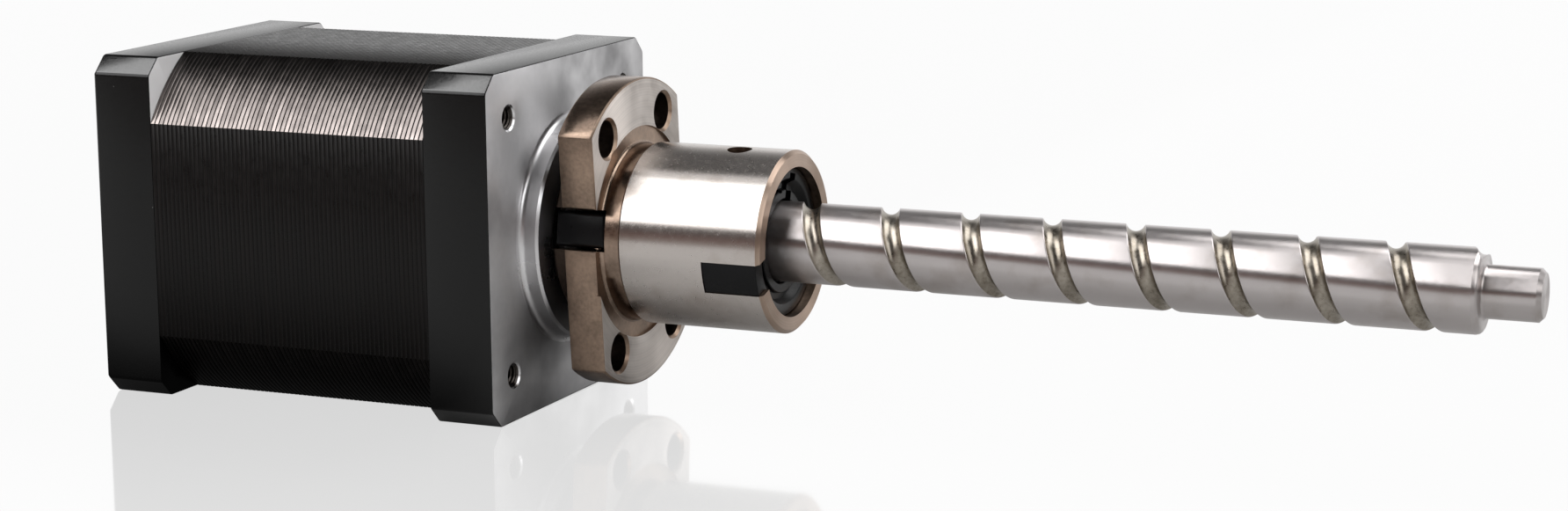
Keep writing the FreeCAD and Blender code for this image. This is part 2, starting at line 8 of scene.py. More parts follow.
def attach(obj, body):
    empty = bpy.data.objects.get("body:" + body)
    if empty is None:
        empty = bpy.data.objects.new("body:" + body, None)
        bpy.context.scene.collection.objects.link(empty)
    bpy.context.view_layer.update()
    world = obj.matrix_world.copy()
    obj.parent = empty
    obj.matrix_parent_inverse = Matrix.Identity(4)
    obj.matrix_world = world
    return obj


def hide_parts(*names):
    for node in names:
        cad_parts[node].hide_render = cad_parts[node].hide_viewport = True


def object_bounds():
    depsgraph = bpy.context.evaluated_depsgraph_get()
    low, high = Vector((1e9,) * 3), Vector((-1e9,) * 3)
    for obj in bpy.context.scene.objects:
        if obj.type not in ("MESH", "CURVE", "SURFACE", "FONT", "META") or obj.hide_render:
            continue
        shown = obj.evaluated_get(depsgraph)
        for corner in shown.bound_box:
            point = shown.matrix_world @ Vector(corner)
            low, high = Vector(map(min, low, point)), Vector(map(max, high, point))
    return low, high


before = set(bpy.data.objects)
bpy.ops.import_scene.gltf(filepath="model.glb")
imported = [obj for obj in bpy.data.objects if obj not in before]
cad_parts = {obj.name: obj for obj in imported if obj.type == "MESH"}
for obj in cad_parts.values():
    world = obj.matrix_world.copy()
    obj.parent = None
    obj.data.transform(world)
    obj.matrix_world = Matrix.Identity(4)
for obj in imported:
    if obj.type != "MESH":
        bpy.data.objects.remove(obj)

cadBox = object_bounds()
mm = 0.001
weld = 0.001 * mm        # points closer than this become one
flatAngle = math.radians(0.3)        # CAD facets this close to flat are joined up
sharpAngle = math.radians(28)        # an edge sharper than this can be rounded
facing = 0.9        # how far along an axis a direction lies when it counts as along it
sideOn = 0.1        # and when it counts as across it
noiseSpan = {"From Min": 0.3, "From Max": 0.7}        # where nearly all of a noise texture lies


# small helpers for materials

def linear(hexColour):        # sRGB hex to linear red, green, blue, alpha
    values = [int(hexColour[i:i + 2], 16) / 255 for i in (1, 3, 5)]
    return [v / 12.92 if v <= 0.04045 else ((v + 0.055) / 1.055) ** 2.4 for v in values] + [1.0]


def perMetre(size):        # pattern scale for features this many millimetres wide
    return 1000.0 / size


def addNode(tree, kind, settings):        # a socket as a value is linked, anything else is set
    node = tree.nodes.new(kind)
    for name, value in settings.items():
        if isinstance(value, bpy.types.NodeSocket):
            tree.links.new(value, node.inputs[name])
        elif isinstance(name, str) and hasattr(node, name):
            setattr(node, name, value)
        else:
            node.inputs[name].default_value = value
    return node


def startMaterial(name):        # empty material, with the piece's own coordinates ready
    material = bpy.data.materials.new(name)
    material.use_nodes = True
    tree = material.node_tree
    tree.nodes.clear()
    coords = addNode(tree, "ShaderNodeTexCoord", {}).outputs["Object"]
    return material, tree, coords


def endMaterial(tree, settings):
    shader = addNode(tree, "ShaderNodeBsdfPrincipled", settings)
    addNode(tree, "ShaderNodeOutputMaterial", {"Surface": shader.outputs[0]})


def addRamp(tree, value, bands):        # colours spread over the values they are paired with
    lowest, highest = bands[0][0], bands[-1][0]
    share = addNode(tree, "ShaderNodeMapRange", {"Value": value, "From Min": lowest, "From Max": highest})
    ramp = addNode(tree, "ShaderNodeValToRGB", {"Fac": share.outputs[0]})
    stops = ramp.color_ramp.elements
    while len(stops) < len(bands):
        stops.new(0.5)
    for stop, (at, colour) in zip(stops, bands):
        stop.position = (at - lowest) / (highest - lowest)
        stop.color = linear(colour)
    return ramp


# small helpers for modelling

def activate(piece):
    bpy.ops.object.select_all(action="DESELECT")
    piece.select_set(True)
    bpy.context.view_layer.objects.active = piece


def applyModifier(piece, kind, settings):
    activate(piece)
    modifier = piece.modifiers.new(kind, kind)
    for name, value in settings.items():
        setattr(modifier, name, value)
    bpy.ops.object.modifier_apply(modifier=modifier.name)


def settle(piece):        # place, turn and scale go into the mesh
    activate(piece)
    bpy.ops.object.transform_apply(location=True, rotation=True, scale=True)


def selectWhere(piece, part, wanted):        # edit mode, with the verts, edges or faces that pass the test
    activate(piece)
    bpy.ops.object.mode_set(mode="EDIT")
    bpy.ops.mesh.select_mode(type={"verts": "VERT", "edges": "EDGE", "faces": "FACE"}[part])
    bpy.ops.mesh.select_all(action="DESELECT")
    work = bmesh.from_edit_mesh(piece.data)
    work.normal_update()
    chosen = [e for e in getattr(work, part) if wanted(e)]
    for element in chosen:
        element.select_set(True)
    bmesh.update_edit_mesh(piece.data)
    return len(chosen)


def editDone():
    bpy.ops.object.mode_set(mode="OBJECT")


def middleOf(edge):
    return (edge.verts[0].co + edge.verts[1].co) / 2


def isSharp(edge):
    return len(edge.link_faces) == 2 and edge.calc_face_angle(0.0) > sharpAngle


def fromAxis(point):
    return math.hypot(point.y, point.z)


def roundEdges(piece, width, segments, wanted):
    count = selectWhere(piece, "edges", lambda e: isSharp(e) and wanted(e))
    if count:
        bpy.ops.mesh.bevel(offset=width, segments=segments, affect="EDGES", clamp_overlap=False)
    editDone()


def copyNode(nodeName, name):        # merged copy of a CAD node, with flat areas joined up
    piece = bpy.data.objects.new(name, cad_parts[nodeName].data.copy())
    bpy.context.scene.collection.objects.link(piece)
    activate(piece)
    bpy.ops.object.mode_set(mode="EDIT")
    bpy.ops.mesh.select_all(action="SELECT")
    bpy.ops.mesh.remove_doubles(threshold=weld / 2)
    bpy.ops.mesh.dissolve_limited(angle_limit=flatAngle)
    editDone()
    bpy.ops.mesh.customdata_custom_splitnormals_clear()
    return piece


def dress(piece, material, others=()):        # others pairs a further material with a test on faces
    piece.data.materials.clear()
    piece.data.materials.append(material)
    for extra, wanted in others:
        piece.data.materials.append(extra)
        place = len(piece.data.materials) - 1
        for face in piece.data.polygons:
            corners = [piece.data.vertices[i].co for i in face.vertices]
            if wanted(corners, face.normal):
                face.material_index = place


def smoothOut(piece, angle):
    activate(piece)
    bpy.ops.object.shade_smooth_by_angle(angle=math.radians(angle))


def seat(piece, body, slotName, *replaced):
    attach(piece, body)
    if replaced:
        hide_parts(*replaced)


# camera, as fitted to the photo

cameraSettings = {
    "azimuth": 23.32,
    "elevation": 10.79,
    "roll": -0.41,
    "distance": 390.9 * mm,
    "target": Vector((28.53, 0.0, -1.75)) * mm,
    "lens": 75.04,
    "sensor": 36.0,
    "nearest": 10.0 * mm,
}


def makeCamera(s):
    turn, lift, roll = (math.radians(s[k]) for k in ("azimuth", "elevation", "roll"))
    back = Vector((math.sin(turn) * math.cos(lift), -math.cos(turn) * math.cos(lift), math.sin(lift)))
    right = Vector((0, 0, 1)).cross(back).normalized()
    up = back.cross(right)
    across = right * math.cos(roll) + up * math.sin(roll)
    upright = up * math.cos(roll) - right * math.sin(roll)
    data = bpy.data.cameras.new("photoCamera")
    data.lens = s["lens"]
    data.sensor_width = s["sensor"]
    data.sensor_fit = "HORIZONTAL"
    data.clip_start = s["nearest"]
    camera = bpy.data.objects.new("photoCamera", data)
    bpy.context.scene.collection.objects.link(camera)
    turned = Matrix((across, upright, back)).transposed().to_4x4()
    camera.matrix_world = Matrix.Translation(s["target"] + back * s["distance"]) @ turned
    bpy.context.scene.camera = camera


makeCamera(cameraSettings)
print("camera placed")


# studio: pale sheet, a broad softbox over the front, panels overhead, by the screw's end and behind it

studioSettings = {
    "sheetWidth": 1.8,
    "sheetFront": -0.45,
    "sheetBack": 0.9,
    "sheetDrop": 0.02 * mm,
    "sheetColour": "#b2b2b1",
    "shadeColour": "#262626",
    "shade": {"x": (-0.012, 0.004), "y": (-0.065, -0.035)},        # painted shade: a dark patch on the sheet under the motor
    "whiteShare": 0.96,
    "sheetGloss": 1.5,
    "sheetRough": 0.06,
    "sheetTones": [        # how white the sheet looks in metal: metres behind the screw's axis, and the tone
        (-0.08, "#acacac"),
        (-0.045, "#b0b0b0"),
        (-0.028, "#585858"),
        (-0.018, "#303030"),
        (0.04, "#404040"),
        (0.10, "#b0b0b0"),
        (0.19, "#ffffff"),
    ],
    "roomBands": [        # angle over the screw's axis from the front horizon, and the room's colour there
        (-20, "#c6c6c6"),
        (-4, "#b0adac"),
        (1, "#948782"),
        (6, "#775f5a"),
        (12, "#5c5250"),
        (20, "#484646"),
        (84, "#343434"),
        (122, "#404040"),
        (132, "#5a5a5a"),
    ],
    "backdropBands": [        # how white the backdrop looks in metal, by the same angle
        (132, "#000000"),
        (145, "#808080"),
        (154, "#c1c1c1"),
        (160, "#f9f9f9"),
        (180, "#ffffff"),
    ],
}
lampSettings = {        # lift is the angle up from the front horizon, turn goes round to the screw's end
    "softbox": {"lift": 51.5, "turn": 0, "x": -0.41, "reach": 0.55, "wide": 0.74, "tall": 0.62, "level": 3.8},
    "topPanel": {"lift": 86, "turn": 0, "x": -0.10, "reach": 0.55, "wide": 0.42, "tall": 0.15, "level": 1.1},
    "sidePanel": {"lift": 28, "turn": 75, "x": 0.0, "reach": 0.60, "wide": 0.36, "tall": 0.36, "level": 2.0},
    "rearPanel": {"lift": 60, "turn": 125, "x": 0.0, "reach": 0.60, "wide": 0.44, "tall": 0.44, "level": 3.2},
}


def makeLamp(name, s):
    lift = math.radians(s["lift"])
    turn = math.radians(s["turn"])
    away = s["reach"] * math.cos(lift)
    place = Vector((s["x"] + away * math.sin(turn), -away * math.cos(turn), s["reach"] * math.sin(lift)))
    data = bpy.data.lights.new(name, "AREA")
    data.shape = "RECTANGLE"
    data.size = s["wide"]
    data.size_y = s["tall"]
    data.energy = s["level"] * math.pi * s["wide"] * s["tall"]
    lamp = bpy.data.objects.new(name, data)
    lamp.location = place
    lamp.rotation_euler = (math.pi / 2 - lift, 0, turn)
    bpy.context.scene.collection.objects.link(lamp)


def seenWhite(tree, path, tone):        # full for the camera, by tone for metal and glass, none for light
    mirrored = addNode(tree, "ShaderNodeMath", {
        "operation": "ADD", 0: path.outputs["Is Glossy Ray"], 1: path.outputs["Is Transmission Ray"]})
    seen = addNode(tree, "ShaderNodeMath", {
        "operation": "MULTIPLY_ADD", "use_clamp": True, 0: mirrored.outputs[0], 1: tone,
        2: path.outputs["Is Camera Ray"]})
    return seen.outputs[0]


def makeSheet(s):        # polished acrylic: white to the eye, grey to the light, with a faint mirror image
    bpy.ops.object.select_all(action="DESELECT")
    middle = (s["sheetFront"] + s["sheetBack"]) / 2
    bpy.ops.mesh.primitive_plane_add(size=1.0, location=(0, middle, cadBox[0].z - s["sheetDrop"]))
    sheet = bpy.context.object
    sheet.name = "paleSheet"
    sheet.scale = (s["sheetWidth"], s["sheetBack"] - s["sheetFront"], 1)
    settle(sheet)
    material, tree, coords = startMaterial("polished white acrylic")
    path = addNode(tree, "ShaderNodeLightPath", {})
    place = addNode(tree, "ShaderNodeSeparateXYZ", {0: coords})
    left, right = s["shade"]["x"]
    front, back = s["shade"]["y"]
    # painted shade: the sheet's own colour goes dark under the motor
    along = addNode(tree, "ShaderNodeMapRange", {
        "Value": place.outputs["X"], "From Min": left, "From Max": right, "To Min": 1.0, "To Max": 0.0})
    under = addNode(tree, "ShaderNodeMapRange", {
        "Value": place.outputs["Y"], "From Min": front, "From Max": back, "To Max": along.outputs[0]})
    colour = addNode(tree, "ShaderNodeMix", {
        "data_type": "RGBA", 0: under.outputs[0], 6: linear(s["sheetColour"]), 7: linear(s["shadeColour"])})
    matt = addNode(tree, "ShaderNodeBsdfDiffuse", {"Color": colour.outputs[2]})
    glow = addNode(tree, "ShaderNodeEmission", {"Strength": 1.0})
    tones = addRamp(tree, place.outputs["Y"], s["sheetTones"])
    share = addNode(tree, "ShaderNodeMath", {
        "operation": "MULTIPLY", 0: seenWhite(tree, path, tones.outputs[0]), 1: s["whiteShare"]})
    look = addNode(tree, "ShaderNodeMixShader", {
        0: share.outputs[0], 1: matt.outputs[0], 2: glow.outputs[0]})
    graze = addNode(tree, "ShaderNodeFresnel", {"IOR": s["sheetGloss"]})
    shine = addNode(tree, "ShaderNodeMath", {
        "operation": "MULTIPLY", 0: graze.outputs[0], 1: path.outputs["Is Camera Ray"]})
    mirror = addNode(tree, "ShaderNodeBsdfGlossy", {"Color": (1, 1, 1, 1), "Roughness": s["sheetRough"]})
    both = addNode(tree, "ShaderNodeMixShader", {
        0: shine.outputs[0], 1: look.outputs[0], 2: mirror.outputs[0]})
    addNode(tree, "ShaderNodeOutputMaterial", {"Surface": both.outputs[0]})
    sheet.data.materials.append(material)


def makeRoom(s):        # grey bands for light, white behind for the camera and for metal
    world = bpy.data.worlds.new("studioRoom")
    bpy.context.scene.world = world
    world.use_nodes = True
    tree = world.node_tree
    tree.nodes.clear()
    way = addNode(tree, "ShaderNodeTexCoord", {}).outputs["Generated"]
    parts = addNode(tree, "ShaderNodeSeparateXYZ", {0: way})
    front = addNode(tree, "ShaderNodeMath", {"operation": "MULTIPLY", 0: parts.outputs["Y"], 1: -1.0})
    angle = addNode(tree, "ShaderNodeMath", {
        "operation": "ARCTAN2", 0: parts.outputs["Z"], 1: front.outputs[0]})
    turned = addNode(tree, "ShaderNodeMath", {"operation": "DEGREES", 0: angle.outputs[0]})
    bands = addRamp(tree, turned.outputs[0], s["roomBands"])
    tones = addRamp(tree, turned.outputs[0], s["backdropBands"])
    path = addNode(tree, "ShaderNodeLightPath", {})
    room = addNode(tree, "ShaderNodeBackground", {"Color": bands.outputs["Color"]})
    white = addNode(tree, "ShaderNodeBackground", {"Color": (1, 1, 1, 1)})
    look = addNode(tree, "ShaderNodeMixShader", {
        0: seenWhite(tree, path, tones.outputs[0]), 1: room.outputs[0], 2: white.outputs[0]})
    addNode(tree, "ShaderNodeOutputWorld", {"Surface": look.outputs[0]})


for lampName, lampValues in lampSettings.items():
    makeLamp(lampName, lampValues)
makeSheet(studioSettings)
makeRoom(studioSettings)
bpy.context.scene.view_settings.view_transform = "Standard"
print("studio lit")


# materials: each starts from the real one, and its comment says what that gives the eye
# pattern sizes are in millimetres, and patchy is how far the gloss strays from rough

def latheRings(tree, coords, width, detail):        # noise that changes only with distance from the X axis
    flat = addNode(tree, "ShaderNodeMapping", {"Vector": coords, "Scale": (0, 1, 1)})
    radius = addNode(tree, "ShaderNodeVectorMath", {"operation": "LENGTH", 0: flat.outputs[0]})
    rings = addNode(tree, "ShaderNodeTexNoise", {
        "noise_dimensions": "1D", "W": radius.outputs["Value"], "Scale": perMetre(width), "Detail": detail})
    return rings.outputs["Fac"]


def ringShine(tree, spread):        # fine lines round the X axis, which stretch each highlight across them
    around = addNode(tree, "ShaderNodeTangent", {"direction_type": "RADIAL", "axis": "X"})
    return {"Anisotropic": spread, "Anisotropic Rotation": 0.25, "Tangent": around.outputs[0]}


def blackEnamel(name, shine):        # sprayed black enamel: deep black, soft gloss, orange peel, dust
    s = {
        "colour": "#050505",
        "rough": (0.16, 0.26),
        "peel": 0.9,
        "grain": 0.22,
        "dust": "#5c5b5a",
        "dustSpacing": 1.6,
        "dustEdge": (0.03, 0.06),
        "dustless": 0.86,        # share of the places for dust that stay clean
    }
    material, tree, coords = startMaterial(name)
    peel = addNode(tree, "ShaderNodeTexNoise", {
        "Vector": coords, "Scale": perMetre(s["peel"]), "Detail": 2.0})
    grain = addNode(tree, "ShaderNodeTexNoise", {
        "Vector": coords, "Scale": perMetre(s["grain"]), "Detail": 3.0})
    waves = addNode(tree, "ShaderNodeBump", {
        "Strength": 0.07, "Distance": 0.05 * mm, "Height": peel.outputs["Fac"]})
    bumps = addNode(tree, "ShaderNodeBump", {
        "Strength": 0.06, "Distance": 0.02 * mm, "Height": grain.outputs["Fac"], "Normal": waves.outputs[0]})
    specks = addNode(tree, "ShaderNodeTexVoronoi", {"Vector": coords, "Scale": perMetre(s["dustSpacing"])})
    small = addNode(tree, "ShaderNodeMapRange", {
        "Value": specks.outputs["Distance"], "From Min": s["dustEdge"][0], "From Max": s["dustEdge"][1],
        "To Min": 1.0, "To Max": 0.0})
    chance = addNode(tree, "ShaderNodeSeparateColor", {0: specks.outputs["Color"]})
    rare = addNode(tree, "ShaderNodeMath", {
        "operation": "GREATER_THAN", 0: chance.outputs[0], 1: s["dustless"]})
    dust = addNode(tree, "ShaderNodeMath", {
        "operation": "MULTIPLY", 0: small.outputs[0], 1: rare.outputs[0]})
    tone = addNode(tree, "ShaderNodeMix", {
        "data_type": "RGBA", 0: dust.outputs[0], 6: linear(s["colour"]), 7: linear(s["dust"])})
    gloss = addNode(tree, "ShaderNodeMapRange", {
        "Value": grain.outputs["Fac"], **noiseSpan, "To Min": s["rough"][0], "To Max": s["rough"][1]})
    endMaterial(tree, {
        "Base Color": tone.outputs[2], "Roughness": gloss.outputs[0], "Specular IOR Level": shine,
        "Normal": bumps.outputs[0]})
    return material


# bare aluminium: pale, cloudy gloss, fine rings from the lathe
def machinedAluminium(name, dull, rough, spread, ringWidth, metallic):
    s = {"bright": "#e8e7e8", "cloud": 7.0, "pits": 0.5, "patchy": (0.72, 1.25)}
    material, tree, coords = startMaterial(name)
    rings = latheRings(tree, coords, ringWidth, 2.0)
    cloud = addNode(tree, "ShaderNodeTexNoise", {
        "Vector": coords, "Scale": perMetre(s["cloud"]), "Detail": 4.0})
    pits = addNode(tree, "ShaderNodeTexNoise", {
        "Vector": coords, "Scale": perMetre(s["pits"]), "Detail": 3.0})
    tone = addNode(tree, "ShaderNodeMix", {
        "data_type": "RGBA", 0: cloud.outputs["Fac"], 6: linear(s["bright"]), 7: linear(dull)})
    gloss = addNode(tree, "ShaderNodeMapRange", {
        "Value": cloud.outputs["Fac"], **noiseSpan,
        "To Min": rough * s["patchy"][0], "To Max": rough * s["patchy"][1]})
    lathe = addNode(tree, "ShaderNodeBump", {"Strength": 0.10, "Distance": 0.01 * mm, "Height": rings})
    bumps = addNode(tree, "ShaderNodeBump", {
        "Strength": 0.10, "Distance": 0.01 * mm, "Height": pits.outputs["Fac"], "Normal": lathe.outputs[0]})
    endMaterial(tree, {
        "Base Color": tone.outputs[2], "Roughness": gloss.outputs[0], "Metallic": metallic,
        "Normal": bumps.outputs[0], **ringShine(tree, spread)})
    return material


# varnished sheet edges: dark, each sheet a little different, bright where rubbed, and darker by height as
# painted shade
def laminationSteel(name, colour, metallic, rough, shadeByHeight):
    s = {"streak": 1.4, "sheetTone": (0.72, 1.25), "streakTone": (0.75, 1.2), "patchy": (0.85, 1.2)}
    material, tree, coords = startMaterial(name)
    island = addNode(tree, "ShaderNodeNewGeometry", {})
    streaks = addNode(tree, "ShaderNodeTexNoise", {
        "Vector": coords, "Scale": perMetre(s["streak"]), "Detail": 5.0})
    spread = addNode(tree, "ShaderNodeMapRange", {
        "Value": island.outputs["Random Per Island"],
        "To Min": s["sheetTone"][0], "To Max": s["sheetTone"][1]})
    patch = addNode(tree, "ShaderNodeMapRange", {
        "Value": streaks.outputs["Fac"], **noiseSpan,
        "To Min": s["streakTone"][0], "To Max": s["streakTone"][1]})
    share = addNode(tree, "ShaderNodeMath", {
        "operation": "MULTIPLY", 0: spread.outputs[0], 1: patch.outputs[0]})
    place = addNode(tree, "ShaderNodeSeparateXYZ", {0: coords})
    # painted shade: the tone changes with height on the motor
    heightShade = addRamp(tree, place.outputs["Z"], shadeByHeight)
    bare = addNode(tree, "ShaderNodeMix", {
        "data_type": "RGBA", "blend_type": "MULTIPLY", 0: 1.0, 6: linear(colour), 7: heightShade.outputs[0]})
    tone = addNode(tree, "ShaderNodeMix", {
        "data_type": "RGBA", "blend_type": "MULTIPLY", 0: 1.0, 6: bare.outputs[2], 7: share.outputs[0]})
    gloss = addNode(tree, "ShaderNodeMapRange", {
        "Value": streaks.outputs["Fac"], **noiseSpan,
        "To Min": rough * s["patchy"][0], "To Max": rough * s["patchy"][1]})
    bumps = addNode(tree, "ShaderNodeBump", {
        "Strength": 0.07, "Distance": 0.02 * mm, "Height": streaks.outputs["Fac"]})
    endMaterial(tree, {
        "Base Color": tone.outputs[2], "Roughness": gloss.outputs[0], "Metallic": metallic,
        "Specular IOR Level": 0.2, "Normal": bumps.outputs[0]})
    return material


def groundSteel(name, colour, stain, rough):        # ground steel: clear bright bands, hair lines round it
    s = {
        "hair": 0.12,
        "hairStretch": 0.012,
        "fine": 0.5,
        "blot": 5.0,
        "blotEdge": (0.52, 0.72),
        "blotDepth": 0.45,
        "spread": 0.8,
        "patchy": (0.95, 1.15),
    }
    material, tree, coords = startMaterial(name)
    long = addNode(tree, "ShaderNodeMapping", {
        "Vector": coords, "Scale": (1, s["hairStretch"], s["hairStretch"])})
    hair = addNode(tree, "ShaderNodeTexNoise", {
        "Vector": long.outputs[0], "Scale": perMetre(s["hair"]), "Detail": 3.0})
    blot = addNode(tree, "ShaderNodeTexNoise", {
        "Vector": coords, "Scale": perMetre(s["blot"]), "Detail": 6.0})
    fine = addNode(tree, "ShaderNodeTexNoise", {
        "Vector": coords, "Scale": perMetre(s["fine"]), "Detail": 2.0})
    spots = addNode(tree, "ShaderNodeMapRange", {
        "Value": blot.outputs["Fac"], "From Min": s["blotEdge"][0], "From Max": s["blotEdge"][1],
        "To Min": 0.0, "To Max": s["blotDepth"]})
    tone = addNode(tree, "ShaderNodeMix", {
        "data_type": "RGBA", 0: spots.outputs[0], 6: linear(colour), 7: linear(stain)})
    gloss = addNode(tree, "ShaderNodeMapRange", {
        "Value": fine.outputs["Fac"], **noiseSpan,
        "To Min": rough * s["patchy"][0], "To Max": rough * s["patchy"][1]})
    lines = addNode(tree, "ShaderNodeBump", {
        "Strength": 0.02, "Distance": 0.004 * mm, "Height": hair.outputs["Fac"]})
    bumps = addNode(tree, "ShaderNodeBump", {
        "Strength": 0.004, "Distance": 0.006 * mm, "Height": fine.outputs["Fac"], "Normal": lines.outputs[0]})
    endMaterial(tree, {
        "Base Color": tone.outputs[2], "Roughness": gloss.outputs[0], "Metallic": 1.0,
        "Normal": bumps.outputs[0], **ringShine(tree, s["spread"])})
    return material


def brownedSteel(name, colour, dark, rough):        # hardened, not ground: bronze-grey, sandy, dull gloss
    s = {
        "grain": 0.45,
        "cloud": 4.0,
        "grainShare": 0.6,
        "darkEnd": 0.55,
        "paleEnd": 1.05,
        "patchy": (0.85, 1.2),
    }
    material, tree, coords = startMaterial(name)
    grain = addNode(tree, "ShaderNodeTexNoise", {
        "Vector": coords, "Scale": perMetre(s["grain"]), "Detail": 5.0})
    cloud = addNode(tree, "ShaderNodeTexNoise", {
        "Vector": coords, "Scale": perMetre(s["cloud"]), "Detail": 3.0})
    both = addNode(tree, "ShaderNodeMath", {
        "operation": "MULTIPLY_ADD", 0: grain.outputs["Fac"], 1: s["grainShare"], 2: cloud.outputs["Fac"]})
    share = addNode(tree, "ShaderNodeMapRange", {
        "Value": both.outputs[0], "From Min": s["darkEnd"], "From Max": s["paleEnd"]})
    tone = addNode(tree, "ShaderNodeMix", {
        "data_type": "RGBA", 0: share.outputs[0], 6: linear(dark), 7: linear(colour)})
    gloss = addNode(tree, "ShaderNodeMapRange", {
        "Value": grain.outputs["Fac"], **noiseSpan,
        "To Min": rough * s["patchy"][0], "To Max": rough * s["patchy"][1]})
    bumps = addNode(tree, "ShaderNodeBump", {
        "Strength": 0.25, "Distance": 0.02 * mm, "Height": grain.outputs["Fac"]})
    endMaterial(tree, {
        "Base Color": tone.outputs[2], "Roughness": gloss.outputs[0], "Metallic": 1.0,
        "Normal": bumps.outputs[0]})
    return material


def turnedSteel(name, colour, rough, ringWidth):        # lathe-faced steel: rings that fan the light out
    s = {"cloud": 2.5, "ringTone": (0.92, 1.04), "spread": 0.95, "patchy": (0.85, 1.2)}
    material, tree, coords = startMaterial(name)
    rings = latheRings(tree, coords, ringWidth, 3.0)
    cloud = addNode(tree, "ShaderNodeTexNoise", {
        "Vector": coords, "Scale": perMetre(s["cloud"]), "Detail": 4.0})
    shade = addNode(tree, "ShaderNodeMapRange", {
        "Value": rings, **noiseSpan, "To Min": s["ringTone"][0], "To Max": s["ringTone"][1]})
    tone = addNode(tree, "ShaderNodeMix", {
        "data_type": "RGBA", "blend_type": "MULTIPLY", 0: 1.0, 6: linear(colour), 7: shade.outputs[0]})
    gloss = addNode(tree, "ShaderNodeMapRange", {
        "Value": cloud.outputs["Fac"], **noiseSpan,
        "To Min": rough * s["patchy"][0], "To Max": rough * s["patchy"][1]})
    lines = addNode(tree, "ShaderNodeBump", {"Strength": 0.1, "Distance": 0.01 * mm, "Height": rings})
    endMaterial(tree, {
        "Base Color": tone.outputs[2], "Roughness": gloss.outputs[0], "Metallic": 1.0,
        "Normal": lines.outputs[0], **ringShine(tree, s["spread"])})
    return material


def mouldedPlastic(name, colour, rough, shine, texture):        # moulded plastic: even, with a fine texture
    s = {"patchy": (0.85, 1.15)}
    material, tree, coords = startMaterial(name)
    spark = addNode(tree, "ShaderNodeTexNoise", {
        "Vector": coords, "Scale": perMetre(texture), "Detail": 3.0})
    gloss = addNode(tree, "ShaderNodeMapRange", {
        "Value": spark.outputs["Fac"], **noiseSpan,
        "To Min": rough * s["patchy"][0], "To Max": rough * s["patchy"][1]})
    bumps = addNode(tree, "ShaderNodeBump", {
        "Strength": 0.15, "Distance": 0.02 * mm, "Height": spark.outputs["Fac"]})
    endMaterial(tree, {
        "Base Color": linear(colour), "Roughness": gloss.outputs[0], "Specular IOR Level": shine,
        "Normal": bumps.outputs[0]})
    return material


def plainMetal(name, colour, rough, grainSize):        # inner pieces: even tone with a fine worked grain
    s = {"grainTone": (0.85, 1.1), "patchy": (0.8, 1.25)}
    material, tree, coords = startMaterial(name)
    grain = addNode(tree, "ShaderNodeTexNoise", {
        "Vector": coords, "Scale": perMetre(grainSize), "Detail": 3.0})
    shade = addNode(tree, "ShaderNodeMapRange", {
        "Value": grain.outputs["Fac"], **noiseSpan,
        "To Min": s["grainTone"][0], "To Max": s["grainTone"][1]})
    tone = addNode(tree, "ShaderNodeMix", {
        "data_type": "RGBA", "blend_type": "MULTIPLY", 0: 1.0, 6: linear(colour), 7: shade.outputs[0]})
    gloss = addNode(tree, "ShaderNodeMapRange", {
        "Value": grain.outputs["Fac"], **noiseSpan,
        "To Min": rough * s["patchy"][0], "To Max": rough * s["patchy"][1]})
    endMaterial(tree, {"Base Color": tone.outputs[2], "Roughness": gloss.outputs[0], "Metallic": 1.0})
    return material


enamel = blackEnamel("black enamel on milled sides", shine=0.3)
cornerEnamel = blackEnamel("black enamel on smooth cast corners", shine=1.0)
facedAluminium = machinedAluminium(
    "faced aluminium", dull="#9a999b", rough=0.52, spread=0.9, ringWidth=0.35, metallic=1.0)
turnedAluminium = machinedAluminium(
    "turned aluminium", dull="#c6c5c7", rough=0.31, spread=0.4, ringWidth=0.3, metallic=1.0)
castAluminium = machinedAluminium(        # its dull skin of oxide shows pale, with no mirror in it
    "cast aluminium", dull="#f2f1f1", rough=0.7, spread=0.0, ringWidth=0.6, metallic=0.0)
unshadedHeights = [(-21 * mm, "#ffffff"), (21 * mm, "#ffffff")]        # height on the motor, and the tone there
# painted shade: the rubbed arcs darker towards the bottom and the top of the motor
cornerShadeByHeight = [(-13 * mm, "#606060"), (13 * mm, "#ffffff"), (17 * mm, "#b8b8b8"), (20 * mm, "#5a5a5a")]
sheetSides = laminationSteel(
    "varnished lamination steel", "#0b0807", metallic=0.0, rough=0.30, shadeByHeight=unshadedHeights)
sheetCorners = laminationSteel(
    "rubbed lamination steel with painted shade", "#8a827f", metallic=0.9, rough=0.2, shadeByHeight=cornerShadeByHeight)
nutGround = groundSteel("ground bearing steel", "#c6bfba", stain="#a2958b", rough=0.24)
nutBrowned = brownedSteel("hardened steel with brown scale", "#a8917f", dark="#7b6a5d", rough=0.34)
rimBrowned = brownedSteel("turned steel with brown scale", "#a08b7c", dark="#7b6a5d", rough=0.2)
